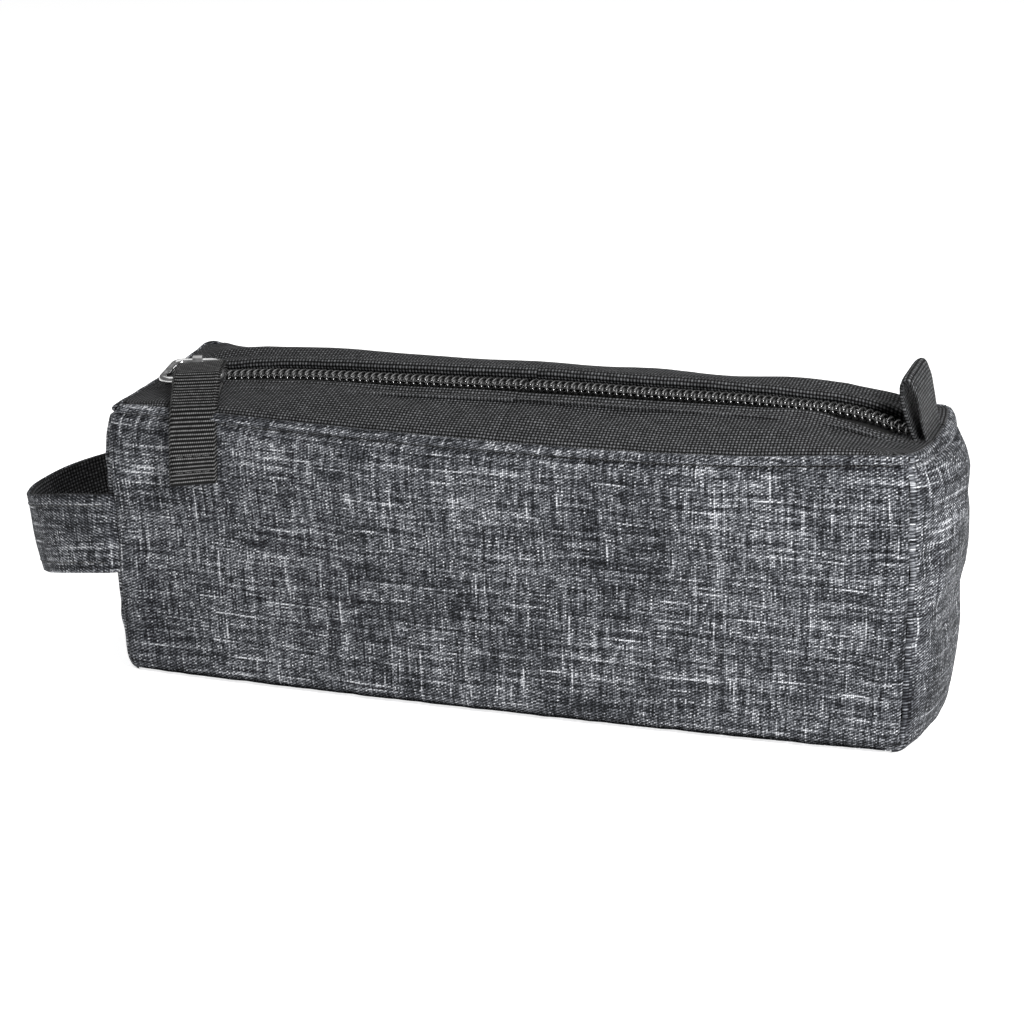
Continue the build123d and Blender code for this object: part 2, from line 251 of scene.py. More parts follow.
def attach(piece, body, slot, *stands_for):
    """Fixes a piece to a body and hides the CAD nodes that it stands for. slot is not used."""
    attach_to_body(piece, body)
    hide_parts(*stands_for)


STITCH_POINTS = 6  # along each stitch, and round its thread
FIRST_STITCH = 0.4  # from the start of the line


def stitches(line, up, pitch, length, radius, lift):
    """Separate stitches along a line of points: each rises out of the cloth and dives back in."""
    along = run_length(line)
    up = np.broadcast_to(up, line.shape)
    arch = np.sin(np.linspace(0, math.pi, STITCH_POINTS)) * (radius + lift) - radius
    parts = []
    for start in np.arange(FIRST_STITCH, along[-1] - length, pitch):
        at = np.linspace(start, start + length, STITCH_POINTS)
        path = read_along(at, along, line) + read_along(at, along, up) * arch[:, None]
        parts.append(tube(path, radius, STITCH_POINTS))
    return parts


# ---- Materials ----


def node(tree, kind, inputs=(), **settings):
    """A shader node with its settings; inputs are values or the sockets that feed it."""
    made = tree.nodes.new("ShaderNode" + kind)
    for key, value in settings.items():
        setattr(made, key, value)
    for key, value in dict(inputs).items():
        if isinstance(value, bpy.types.NodeSocket):
            tree.links.new(value, made.inputs[key])
        else:
            made.inputs[key].default_value = value
    return made


def maths(operation, a, b=0.0, c=0.0):
    """The result of one sum on a socket."""
    return node(a.id_data, "Math", {0: a, 1: b, 2: c}, operation=operation).outputs[0]


def vector(x, y, z=0.0):
    """A shader vector from a socket and two more sockets or numbers."""
    return node(x.id_data, "CombineXYZ", {0: x, 1: y, 2: z}).outputs[0]


def noise(at, scale, detail=2.0, roughness=0.5):
    """Noise from 0 to 1."""
    inputs = {"Vector": at, "Scale": scale, "Detail": detail, "Roughness": roughness}
    return node(at.id_data, "TexNoise", inputs).outputs["Fac"]


def ramp(value, stops):
    """A colour ramp through (position, (r, g, b)) stops."""
    made = node(value.id_data, "ValToRGB", {0: value})
    elements = made.color_ramp.elements
    while len(elements) < len(stops):
        elements.new(0.5)
    for element, (position, colour) in zip(elements, stops):
        element.position = position
        element.color = (*colour, 1.0)
    return made.outputs["Color"]


def levels(value, low, high, to_low=0.0, to_high=1.0):
    """Stretches one range of values to another, and holds it at the ends."""
    inputs = {"Value": value, "From Min": low, "From Max": high, "To Min": to_low, "To Max": to_high}
    return node(value.id_data, "MapRange", inputs).outputs[0]


def new_material(name, **shader_values):
    """A material with one Principled shader. An input's name is written with _ for each space."""
    material = bpy.data.materials.new(name)
    material.use_nodes = True
    tree = material.node_tree
    shader = tree.nodes["Principled BSDF"]
    for key, value in shader_values.items():
        shader.inputs[key.replace("_", " ")].default_value = value
    return material, tree, shader


def cloth_coordinates(tree):
    """The two directions along the cloth, in millimetres."""
    uv = node(tree, "UVMap", uv_map="cloth").outputs[0]
    split = node(tree, "SeparateXYZ", {0: uv})
    return split.outputs[0], split.outputs[1]


def wobbled(u, v, amount, scale):
    """The same coordinates with yarns that wander a little."""
    at = vector(u, v)
    shift_u = levels(noise(at, scale), 0, 1, -amount, amount)
    shift_v = levels(noise(vector(v, u, 7.7), scale), 0, 1, -amount, amount)
    return maths("ADD", u, shift_u), maths("ADD", v, shift_v)


def weave(u, v, pitch):
    """Plain weave: which yarn is on top, the yarn numbers, and the height of the top yarn."""
    across_u, across_v = maths("DIVIDE", u, pitch), maths("DIVIDE", v, pitch)
    column, row = maths("FLOOR", across_u), maths("FLOOR", across_v)
    on_top = maths("PINGPONG", maths("ADD", column, row), 1.0)
    place_u = maths("PINGPONG", maths("MULTIPLY", across_u, 2.0), 1.0)
    place_v = maths("PINGPONG", maths("MULTIPLY", across_v, 2.0), 1.0)
    dome = maths("MULTIPLY", place_u, place_v)
    height = maths("POWER", dome, 0.45)
    return on_top, column, row, height


def finish_shader(shader, colour, height, distance, strength=0.6):
    """Feeds a colour and a bump height to the shader."""
    tree = shader.id_data
    tree.links.new(colour, shader.inputs["Base Color"])
    bump = node(tree, "Bump", {"Height": height, "Distance": distance, "Strength": strength})
    tree.links.new(bump.outputs[0], shader.inputs["Normal"])


def grey(value, blue=0.0):
    """A near-neutral colour from a display value of 0 to 255."""
    linear = (value / 255) ** 2.2
    return (linear * (1 - 0.04 * blue), linear, linear * (1 + 0.1 * blue))


def stretched_noise(u, v, scale_u, scale_v, offset, detail=2.0, roughness=0.6):
    """Noise drawn out along one direction, from -0.5 to 0.5."""
    at = vector(maths("MULTIPLY", u, scale_u), maths("MULTIPLY", v, scale_v), offset)
    return maths("SUBTRACT", noise(at, 1.0, detail, roughness), 0.5)


def added(*terms):
    """The sum of (socket, factor) terms."""
    total = 0.5
    for socket, factor in terms:
        total = maths("MULTIPLY_ADD", socket, factor, total)
    return total


HEATHER_PITCH = 0.45  # from yarn to yarn
# The diagonal ridges of the twill: from ridge to ridge, and how steeply they climb.
TWILL_PITCH = 0.68
TWILL_RISE = 0.88
TWILL_RUN = 0.47
# The shades of the heather's yarns: place in the range of tones, display value and blueness.
HEATHER_SHADES = [(0.29, 20, 2.2), (0.43, 48, 1.8), (0.53, 84, 1.2), (0.63, 140, 0.8), (0.76, 220, 0.4)]


def heather_cloth():
    """Melange twill: each yarn has its own shade, which drifts along it, with thick pale slubs both ways.
    Painted shade darkens the gaps between yarns and painted highlight lifts their tops.
    """
    settings = {"Roughness": 0.95, "Specular_IOR_Level": 0.12, "Sheen_Weight": 0.03}
    material, tree, shader = new_material("heather_fabric", **settings)
    u, v = wobbled(*cloth_coordinates(tree), 0.4, 0.07)
    on_top, column, row, height = weave(u, v, HEATHER_PITCH)
    weft = stretched_noise(u, row, 0.3, 7.31, 1.0, 3.0, 0.7)
    warp = stretched_noise(column, v, 5.77, 0.3, 9.4, 3.0, 0.7)
    yarn = node(tree, "Mix", {0: on_top, 2: warp, 3: weft}).outputs[0]
    long_weft = stretched_noise(u, v, 0.035, 0.95, 3.0, 3.0, 0.65)
    long_warp = stretched_noise(u, v, 0.85, 0.028, 5.0, 3.0, 0.65)
    cloud = stretched_noise(u, v, 0.02, 0.06, 2.0)
    rise, run = maths("MULTIPLY", v, TWILL_RISE), maths("MULTIPLY", u, TWILL_RUN)
    climb = maths("SUBTRACT", rise, run)
    twill = maths("SINE", maths("MULTIPLY", climb, 2 * math.pi / TWILL_PITCH))
    thick_weft = stretched_noise(u, row, 0.05, 3.37, 4.0, 1.0)
    thick_warp = stretched_noise(column, v, 2.93, 0.05, 6.0, 1.0)
    slub = maths("MAXIMUM", levels(thick_weft, 0.12, 0.24), levels(thick_warp, 0.13, 0.25))
    parts = ((yarn, 1.0), (long_weft, 0.52), (long_warp, 0.38), (cloud, 0.12), (twill, 0.085), (slub, 0.17))
    shades = [(place, grey(value, blue)) for place, value, blue in HEATHER_SHADES]
    colour = ramp(added(*parts), shades)
    # Painted shade and highlight: the colour is darkened in the gaps between yarns and brightened on their
    # tops, from the yarn's height.
    shade = levels(height, 0.15, 0.95, 0.3, 1.2)
    shaded = node(tree, "VectorMath", {0: colour, 1: vector(shade, shade, shade)}, operation="MULTIPLY")
    finish_shader(shader, shaded.outputs[0], height, 0.00015)
    return material


def oxford_cloth(name, pitch, dark, crown, roughness=0.55):
    """Coarse plain-weave polyester, its light painted in: each yarn's crown is painted pale as a painted
    highlight, with painted shade in the gaps between.
    """
    material, tree, shader = new_material(name, Roughness=roughness, Specular_IOR_Level=0.12)
    u, v = wobbled(*cloth_coordinates(tree), 0.25, 0.08)
    on_top, _, row, height = weave(u, v, pitch)
    drift = stretched_noise(u, row, 0.3, 3.7, 0.0)
    # Painted light: the colour runs from the dark value, painted shade in the gaps, to the crown value, a
    # painted highlight where each yarn rises.
    crown_highlights = maths("POWER", height, 2.2)
    painted_highlight_dots = maths("MULTIPLY", crown_highlights, levels(on_top, 0, 1, 0.65, 1.0))
    painted_highlight_dots = maths("MULTIPLY", painted_highlight_dots, levels(drift, -0.2, 0.2, 0.6, 1.15))
    colour = ramp(painted_highlight_dots, [(0.05, grey(dark, 0.4)), (0.9, grey(crown, 0.4))])
    finish_shader(shader, colour, height, 0.0003, 0.8)
    return material


def ribbed_cloth(name, bead, rib, dark, crown, sharpness=0.7):
    """Narrow woven ware: ribs of small beads that run across the band, with painted shade in the gaps between
    ribs and beads and a painted highlight on each rib's crown.
    """
    material, tree, shader = new_material(name, Roughness=0.6, Specular_IOR_Level=0.15)
    u, v = cloth_coordinates(tree)
    across = maths("PINGPONG", maths("DIVIDE", v, rib / 2), 1.0)
    rib_number = maths("FLOOR", maths("DIVIDE", v, rib))
    stagger = maths("MULTIPLY", maths("PINGPONG", rib_number, 1.0), bead / 2)
    along = maths("PINGPONG", maths("DIVIDE", maths("ADD", u, stagger), bead / 2), 1.0)
    beads = levels(along, 0.1, 0.9, 0.45, 1.0)
    height = maths("MULTIPLY", maths("POWER", across, sharpness), beads)
    drift = stretched_noise(u, v, 0.7, 0.7, 0.0)
    # Painted light: the colour follows the rib's height, from painted shade (dark) in the gaps to a painted
    # highlight (crown) on top.
    tone = maths("MULTIPLY", height, levels(drift, -0.2, 0.2, 0.7, 1.1))
    colour = ramp(tone, [(0.2, grey(dark)), (0.95, grey(crown))])
    finish_shader(shader, colour, height, 0.0002, 0.7)
    return material


def nylon():
    """Glossy black monofilament with faint scuffs."""
    settings = {"Roughness": 0.25, "IOR": 1.9, "Specular_IOR_Level": 1.0}
    material, tree, shader = new_material("nylon_coil", **settings)
    position = node(tree, "TexCoord").outputs["Object"]
    dust = noise(position, 900.0, 3.0)
    colour = ramp(dust, [(0.35, grey(14)), (0.75, grey(38))])
    finish_shader(shader, colour, dust, 0.00002, 0.25)
    return material


def thread_material():
    """Twisted polyester thread, with painted shade in the grooves of its twist and painted highlight along its
    plies.
    """
    material, tree, shader = new_material("thread", Roughness=0.7)
    u, v = cloth_coordinates(tree)
    turn = maths("ADD", maths("MULTIPLY", u, 9.0), maths("MULTIPLY", v, 6.0))
    twist = maths("SINE", turn)
    # Painted light: the twist's light and dark bands are painted into the colour.
    colour = ramp(levels(twist, -1, 1), [(0.1, grey(26)), (0.9, grey(84))])
    finish_shader(shader, colour, twist, 0.00005, 0.6)
    return material


def metal(name, tone, roughness, scratch_scale):
    """Plated metal with fine scratches and slight tarnish."""
    material, tree, shader = new_material(name, Metallic=1.0)
    position = node(tree, "TexCoord").outputs["Object"]
    stain = noise(position, 350.0, 4.0, 0.6)
    scratch = noise(position, scratch_scale, 5.0, 0.7)
    colour = ramp(stain, [(0.3, grey(tone - 34)), (0.7, grey(tone))])
    rough = levels(scratch, 0.3, 0.7, roughness, roughness + 0.18)
    tree.links.new(rough, shader.inputs["Roughness"])
    finish_shader(shader, colour, scratch, 0.00002, 0.25)
    return material


def floor_material():
    """Plain pale paper, lit a little from within so that it stays white under a soft light."""
    settings = {"Roughness": 0.9, "Emission_Color": (1.0, 1.0, 1.0, 1.0), "Emission_Strength": 0.75}
    material, tree, shader = new_material("floor", **settings)
    grain = noise(node(tree, "TexCoord").outputs["Object"], 60.0)
    colour = ramp(grain, [(0.0, (0.94, 0.94, 0.94)), (1.0, (0.97, 0.97, 0.97))])
    tree.links.new(colour, shader.inputs["Base Color"])
    return material


HEATHER = heather_cloth()
# The woven cloths below: each one's dark value is painted shade in its gaps, and its crown value is a painted
# highlight on its yarns or ribs.
OXFORD = oxford_cloth("black_fabric", 0.85, 12, 134)
LINING = oxford_cloth("lining_fabric", 0.3, 44, 96, roughness=0.5)
BINDING = ribbed_cloth("seam_tape", 0.4, 0.5, 26, 84)
ZIP_TAPE = ribbed_cloth("zip_tape", 0.42, 0.55, 18, 72)
WEBBING = ribbed_cloth("webbing", 0.5, 1.0, 3, 138, sharpness=1.6)
NYLON = nylon()
THREAD = thread_material()
CAST_METAL = metal("cast_metal", 180, 0.26, 900.0)
WIRE_METAL = metal("wire_metal", 215, 0.12, 500.0)


# ---- Camera, floor and light ----

# The camera looks at TARGET from these angles round and above the case, in degrees, tilted a little.
AZIMUTH = 18.6
ELEVATION = 17.24
TILT = -0.56
TARGET = np.array([-4.69, 0.0, 43.58]) * MM
DISTANCE = 0.7556
LENS = 106.56
SENSOR = 36.0

FLOOR_REACH = 8.0
FLOOR_DROP = 0.0002
WORLD_LIGHT = 0.2
LIT_POINT = np.array([0, 0, 0.04])
# Each softbox: its place, size and power.
SOFTBOXES = {"key": ((0.34, -0.34, 0.36), 0.16, 3.6), "top": ((-0.1, 0.3, 0.8), 0.9, 3.0)}


def place_in_scene(name, data, location):
    """A new object in the scene."""
    made = bpy.data.objects.new(name, data)
    made.location = location
    bpy.context.scene.collection.objects.link(made)
    return made


def look(obj, target, tilt=0.0):
    """Points a camera or a lamp at a target."""
    direction = unit(target - np.array(obj.location))
    level = unit(np.cross(direction, UP))
    upright = np.cross(level, direction)
    side = level * math.cos(tilt) + upright * math.sin(tilt)
    up = upright * math.cos(tilt) - level * math.sin(tilt)
    obj.rotation_euler = Matrix(np.stack([side, up, -direction], axis=1).tolist()).to_euler()


def add_camera():
    """The camera, at its angles and distance from the target."""
    azimuth, elevation = math.radians(AZIMUTH), math.radians(ELEVATION)
    level = np.array([math.sin(azimuth), -math.cos(azimuth), 0.0])
    back = level * math.cos(elevation) + UP * math.sin(elevation)
    data = bpy.data.cameras.new("camera")
    data.sensor_width = SENSOR
    data.lens = LENS
    data.clip_start = 0.01
    camera = place_in_scene("camera", data, TARGET + back * DISTANCE)
    look(camera, TARGET, math.radians(TILT))
    bpy.context.scene.camera = camera


def add_floor():
    """A plain square floor, just under the case."""
    mesh = bpy.data.meshes.new("floor")
    corners = [(x * FLOOR_REACH, y * FLOOR_REACH, 0) for x, y in ((-1, -1), (1, -1), (1, 1), (-1, 1))]
    mesh.from_pydata(corners, [], [(0, 1, 2, 3)])
    mesh.materials.append(floor_material())
    place_in_scene("floor", mesh, (0, 0, -FLOOR_DROP))


def add_light():
    """Even pale surroundings and two square softboxes."""
    scene = bpy.context.scene
    scene.view_settings.view_transform = "Standard"
    scene.world = bpy.data.worlds.new("studio")
    scene.world.use_nodes = True
    background = scene.world.node_tree.nodes["Background"]
    background.inputs["Color"].default_value = (1, 1, 1, 1)
    background.inputs["Strength"].default_value = WORLD_LIGHT
    for name, (place, size, power) in SOFTBOXES.items():
        lamp = bpy.data.lights.new(name, "AREA")
        lamp.shape = "SQUARE"
        lamp.size = size
        lamp.energy = power
        look(place_in_scene(name, lamp, place), LIT_POINT)


add_camera()
add_floor()
add_light()


# ---- The box of heather cloth ----

# The upright seams as (share of the height, x) and (share, y).
SEAM_LINES = {
    "front_left": (
        [(0, -101.2), (0.3, -102.9), (0.63, -103.7), (0.8, -104.8), (0.89, -104.4), (0.96, -103.1),
         (1, -101.2)],
        [(0, -24.3), (0.5, -24.0), (1, -24.0)],
    ),
    "front_right": (
        [(0, 100.1), (0.4, 101.0), (0.67, 101.2), (1, 100.2)],
        [(0, -24.6), (0.5, -24.0), (1, -23.6)],
    ),
    "back_right": (
        [(0, 101.2), (0.4, 101.6), (0.7, 101.6), (1, 100.8)],
        [(0, 24.2), (0.5, 24.0), (1, 22.6)],
    ),
    "back_left": (
        [(0, -100.4), (0.4, -102.0), (0.75, -102.0), (0.9, -99.6), (1, -96.2)],
        [(0, 24.2), (0.5, 24.0), (1, 23.8)],
    ),
}
# Each wall: its two seams, its outward direction, and its bulge as (share of the height, mm).
WALLS = {
    "front": ("front_left", "front_right", (0, -1, 0),
              [(0, 2.4), (0.2, 3.9), (0.5, 5.2), (0.8, 5.0), (1, 4.4)]),
    "right_end": ("front_right", "back_right", (1, 0, 0),
                  [(0, 3.0), (0.18, 5.6), (0.48, 6.4), (0.78, 6.8), (0.92, 6.6), (1, 2.6)]),
    "back": ("back_right", "back_left", (0, 1, 0),
             [(0, 1.4), (0.2, 3.4), (0.5, 4.8), (0.8, 4.8), (1, 4.4)]),
    "left_end": ("back_left", "front_left", (-1, 0, 0),
                 [(0, 1.2), (0.2, 2.6), (0.5, 3.6), (0.8, 3.4), (1, 1.2)]),
}
# Height of the top seam as (share along the wall, mm).
TOP_SEAM = {
    "front": [(0, 70.2), (0.04, 70.7), (0.1, 70.6), (0.3, 70.1), (0.5, 69.7), (0.68, 69.9), (0.82, 70.8),
              (0.92, 72.3), (1, 73.2)],
    "right_end": [(0, 73.2), (0.25, 72.6), (0.5, 72.6), (0.75, 73.0), (1, 73.5)],
    "back": [(0, 73.5), (0.15, 73.0), (0.5, 72.4), (0.85, 73.0), (0.95, 74.0), (1, 75.8)],
    "left_end": [(0, 75.8), (0.15, 74.0), (0.35, 72.2), (0.6, 71.0), (0.85, 70.4), (1, 70.2)],
}
STITCH_DROP = 2.6  # from the top edge down to the row of stitches
GROOVE = 1.1  # how deep the stitches pull the cloth in
PUFF = 0.4  # how far the cloth rises above them
PUCKER = 0.35  # height of the puckers along the seams
WAVE = 0.45  # height of the broad waves
HEM = 5.0  # cloth turned down inside the top edge
FINE_STEP = 1.2  # between points of a wall
BASE_STEP = 2.0

# The cloth simulation: frames, the step of its coarse grid, and the most that it may move the cloth.
SETTLING_FRAMES = 20
COARSE_STEP = 4.5
MOST_PUFF = 1.3
RELIEF = {}  # how far the simulated cloth of each wall moved outward


def relief_at(side, s, h):
    """The simulated puff of a wall, read between its coarse points."""
    if side not in RELIEF:
        return 0 * s
    moved = RELIEF[side]
    i, j = s * (moved.shape[0] - 1), h * (moved.shape[1] - 1)
    i0, j0 = np.minimum(i.astype(int), moved.shape[0] - 2), np.minimum(j.astype(int), moved.shape[1] - 2)
    i, j = i - i0, j - j0
    near = moved[i0, j0] * (1 - j) + moved[i0, j0 + 1] * j
    far = moved[i0 + 1, j0] * (1 - j) + moved[i0 + 1, j0 + 1] * j
    return near * (1 - i) + far * i


def roll_in(distance, radius):
    """How far a rolled edge has turned in, at a distance from its seam."""
    d = np.clip(distance, 0, radius)
    return radius - np.sqrt(np.maximum(radius**2 - (radius - d) ** 2, 0))


def wall_relief(u, v, from_seam, below_top, seed):
    """How far a wall's cloth stands out of its bow: puckers, waves, rolled edges and the stitched line."""
    puckers = np.exp(-from_seam / 5) * ripples(v, seed, (7.0, 11.0, 17.0))
    puckers += np.exp(-v / 5) * ripples(u, seed + 1, (6.0, 9.5, 14.0, 23.0))
    puckers += 0.5 * np.exp(-below_top / 5) * ripples(u, seed + 2, (5.0, 8.0, 19.0))
    waves = (1 - np.exp(-np.minimum(from_seam, np.minimum(v, below_top)) / 12)) * swell(u, v, seed + 3)
    rolls = roll_in(from_seam, SEAM_ROLL) + 0.7 * roll_in(v, BASE_ROLL) + 0.5 * roll_in(below_top, TOP_ROLL)
    stitched = PUFF * bell(below_top, STITCH_DROP / 2, 0.7) - GROOVE * bell(below_top, STITCH_DROP, 0.45)
    return PUCKER * puckers + WAVE * waves - rolls + stitched


def seam_points(corner, h):
    """Points of an upright seam at shares h of its height, with Z left at 0."""
    x_knots, y_knots = SEAM_LINES[corner]
    return np.stack([smooth(x_knots, h), smooth(y_knots, h), 0 * h], axis=1)


def wall_grid(side, s, h, inset=0.0):
    """Points of a wall at shares s of its width and h of its height, as a grid, with cloth coordinates."""
    first, last, outward, bulge = WALLS[side]
    start, end = seam_points(first, h)[None], seam_points(last, h)[None]
    turned = unit(end - start) * (SEAM_ROLL + inset)
    start, end = start + turned, end - turned
    width = np.linalg.norm(end - start, axis=-1).mean()
    sg, hg = np.meshgrid(s, h, indexing="ij")
    top = smooth(TOP_SEAM[side], sg)
    u, v = sg * width, top * hg
    bow = smooth(bulge, hg) * (4 * sg * (1 - sg)) ** 0.8
    relief = wall_relief(u, v, np.minimum(sg, 1 - sg) * width, top - v, len(side))
    out = bow + relief + relief_at(side, sg, hg) - inset
    grid = start + (end - start) * sg[..., None]
    grid[..., 2] = v
    return grid + out[..., None] * np.array(outward, float), np.stack([u, v], axis=-1)


def wall_length(side):
    """Rough length of a wall, from seam to seam."""
    return 2 * SEAM_X if side in ("front", "back") else 2 * SEAM_Y


def slack_cloth(piece, pinned):
    """Slightly loose cloth, held where it is pinned and blown up softly from inside. Returns its points."""
    group = piece.vertex_groups.new(name="pin")
    group.add(pinned, 1.0, "REPLACE")
    cloth = piece.modifiers.new("cloth", "CLOTH")
    settings = cloth.settings
    settings.quality = 6
    settings.mass = 0.15
    settings.tension_stiffness = settings.compression_stiffness = 12.0
    settings.bending_stiffness = 0.35
    settings.shrink_min = -0.012
    settings.vertex_group_mass = "pin"
    settings.use_pressure = True
    settings.uniform_pressure_force = 2.5
    settings.effector_weights.gravity = 0.0
    cloth.collision_settings.use_collision = False
    cloth.point_cache.frame_end = SETTLING_FRAMES
    scene = bpy.context.scene
    for step in range(1, SETTLING_FRAMES + 1):
        scene.frame_set(step)
    settled = piece.evaluated_get(bpy.context.evaluated_depsgraph_get())
    points = np.array([tuple(vertex.co) for vertex in settled.data.vertices]) / MM
    scene.frame_set(1)
    return points


def simulate_walls():
    """Lets each wall's cloth settle between its seams, on a coarse grid, and keeps how far it moved."""
    for side, (_, _, outward, _) in WALLS.items():
        rows, columns = int(wall_length(side) / COARSE_STEP) + 1, int(WALL_TOP / COARSE_STEP) + 1
        grid, uv = wall_grid(side, np.linspace(0, 1, rows), np.linspace(0, 1, columns))
        trial = surface("trial", grid, uv, HEATHER)
        place = np.arange(rows * columns).reshape(rows, columns)
        pinned = set(place[0]) | set(place[-1]) | set(place[:, 0]) | set(place[:, -1]) | set(place[:, -2])
        points = slack_cloth(trial, [int(i) for i in pinned])
        moved = (points.reshape(grid.shape) - grid) @ np.array(outward, float)
        RELIEF[side] = MOST_PUFF * np.tanh(moved / MOST_PUFF)
        bpy.data.objects.remove(trial)


def spaced(length, step, radius):
    """Shares along a length: close together near both ends, evenly spread between."""
    near = np.array([0, 0.12, 0.3, 0.6, 1.0, 1.5, 2.2]) * radius
    middle = np.linspace(near[-1], length - near[-1], int(length / step))[1:-1]
    return np.concatenate([near, middle, (length - near)[::-1]]) / length


def build_walls():
    """The outer cloth of the four walls, each with its top edge turned in as a hem."""
    near_stitches = 1 - (STITCH_DROP + np.arange(-1.2, 1.5, 0.3)) / WALL_TOP
    h = np.unique(np.concatenate([spaced(WALL_TOP, FINE_STEP, TOP_ROLL), near_stitches]))
    for side in WALLS:
        grid, uv = wall_grid(side, spaced(wall_length(side), FINE_STEP, SEAM_ROLL), h)
        rim = grid[:, -1:] - np.array(WALLS[side][2]) * CLOTH
        grid = np.concatenate([grid, rim, rim - HEM * UP], axis=1)
        top_uv = uv[:, -1:]
        uv = np.concatenate([uv, top_uv + [0, CLOTH], top_uv + [0, CLOTH + HEM]], axis=1)
        piece = surface(f"{side}_cloth", grid, uv, HEATHER)
        attach(piece, "case", "heather_fabric", f"{side}_panel", f"{side}_stiffener")


def bottom_edge(side, s):
    """The lower edge of a wall at shares s of its width."""
    grid, _ = wall_grid(side, s, np.array([0.0, 0.01]))
    return grid[:, 0]


def build_base():
    """The base is stretched between the four walls' lower edges."""
    length, width = wall_length("front"), wall_length("left_end")
    u, v = spaced(length, BASE_STEP, BASE_ROLL / 4), spaced(width, BASE_STEP, BASE_ROLL / 4)
    front, back = bottom_edge("front", u), bottom_edge("back", u)[::-1]
    right, left = bottom_edge("right_end", v), bottom_edge("left_end", v)[::-1]
    ug, vg = u[:, None, None], v[None, :, None]
    edges = front[:, None] * (1 - vg) + back[:, None] * vg + left[None] * (1 - ug) + right[None] * ug
    front_corners = (front[0] * (1 - ug) + front[-1] * ug) * (1 - vg)
    back_corners = (back[0] * (1 - ug) + back[-1] * ug) * vg
    grid = edges - front_corners - back_corners
    from_edge = np.minimum(np.minimum(u, 1 - u)[:, None] * length, np.minimum(v, 1 - v)[None] * width)
    grid[..., 2] = 0.9 * np.exp(-from_edge / 1.5) + 0.15
    piece = surface("base_cloth", grid[:, ::-1], grid[:, ::-1, :2], HEATHER)
    attach(piece, "case", "heather_fabric", "base_panel", "base_stiffener")


# ---- Black top ----

SIDES = {-1: "front", 1: "back"}
ENDS = {-1: "left", 1: "right"}
# Heights along X: of the middle of the zip chain, and of the strips' folded edges beside it.
CHAIN_HEIGHT = [
    (-100, 71.0), (-90, 72.0), (-82, 72.8), (-71, 74.0), (-60, 74.7), (-40, 75.3), (-18, 75.9), (3, 76.6),
    (30, 76.8), (66, 76.8), (78, 76.3), (83, 75.7), (87.5, 74.7), (92.3, 73.2), (97, 71.4), (101, 69.8),
]
FRONT_FOLD = [
    (-100, 71.2), (-92, 72.4), (-82, 73.6), (-60, 75.2), (-30, 76.0), (0, 76.7), (45, 77.2), (60, 77.5),
    (70, 77.8), (75, 77.4), (81, 75.9), (88, 74.2), (94, 72.7), (98.5, 70.8), (101, 70.0),
]
BACK_FOLD = [
    (-100, 72.5), (-90, 74.0), (-80, 75.4), (-60, 77.0), (-30, 77.9), (0, 78.8), (40, 79.0), (66, 78.8),
    (78, 78.2), (86, 77.2), (92, 76.0), (97, 74.2), (101, 72.8),
]
STRIP_LINE = {-1: FRONT_FOLD, 1: BACK_FOLD}
STRIP_CROWN = {-1: 0.2, 1: 2.3}  # how far each strip arches
FOLD_Y = 6.8  # from the middle of the zip to a folded edge
STRIP_POINTS = 46  # round a strip's profile
STRIP_END = 100.0
FIT_START = 88.0  # from here outward, the strips are brought in against the end walls
TOPSTITCH_INSET = 2.9  # from the folded edge to its row of stitches

COIL_HALF_HEIGHT = 1.2
COIL_PITCH = 1.78
COIL_MIDDLE = 1.5
COIL_REACH = 1.8
COIL_RISE = 0.85
COIL_STEPS = 18  # points round each turn
COIL_ENDS = {"left": (-90.4, 0.0), "right": (-0.6, 97.0)}
WIRE = 0.34
TAPE_WIDTH = 11.0
TAPE_THICK = 0.5

# Rows of stitches: their pitch, length, thread radius, and how far the thread lifts out of the cloth.
EDGE_STITCH = (3.0, 2.4, 0.17, 0.08)
STRIP_STITCH = (3.0, 2.4, 0.1, 0.0)
COIL_STITCH = (COIL_PITCH, 1.35, 0.18, 0.16)
STRAP_STITCH = (2.2, 1.7, 0.16, 0.1)


def top_line(side, count, axis):
    """The top seam of a wall as points sorted along X (axis 0) or Y (axis 1)."""
    grid, _ = wall_grid(side, np.linspace(0, 1, count), np.array([0.97, 1.0]))
    line = grid[:, -1]
    return line[np.argsort(line[:, axis])]


def top_edge_line(side, x):
    """Where the top seam of the front or back wall runs, at some places along X."""
    line = top_line(side, 160, 0)
    return np.stack([x, np.interp(x, line[:, 0], line[:, 1]), np.interp(x, line[:, 0], line[:, 2])], axis=1)


def end_edge(half, y):
    """Where the top seam of an end wall runs, at some places along Y: its X and its height."""
    line = top_line(f"{half}_end", 60, 1)
    return np.interp(y, line[:, 1], line[:, 0]), np.interp(y, line[:, 1], line[:, 2])


def folded_edge(grid):
    """The column of a strip's grid that is nearest the zip."""
    return np.argmin(np.abs(grid[len(grid) // 2, :, 1]))


def fitted_to_ends(grid):
    """Brings a strip's ends in against the end walls, to end just inside their top seams."""
    fitted = grid.copy()
    apex = folded_edge(grid)
    for sign, half in ENDS.items():
        edge_x, edge_z = end_edge(half, grid[..., 1])
        share = np.clip((sign * grid[..., 0] - FIT_START) / (STRIP_END - FIT_START), 0, 1)
        corner = np.clip((np.abs(grid[..., 1]) - 18) / 6, 0, 1) ** 2
        reach = sign * edge_x - 0.6 - 1.8 * corner - FIT_START
        fitted[..., 0] = np.where(share > 0, sign * (FIT_START + share * reach), fitted[..., 0])
        for i in np.nonzero(share[:, 0] > 0)[0]:
            top = grid[i, : apex + 1]
            order = np.argsort(top[:, 1])
            top_z = np.interp(grid[i, :, 1], top[order, 1], top[order, 2])
            ease = share[i] ** 2 * (3 - 2 * share[i])
            fitted[i, :, 2] += ease * (edge_z[i] - 0.3 - top_z)
    return fitted


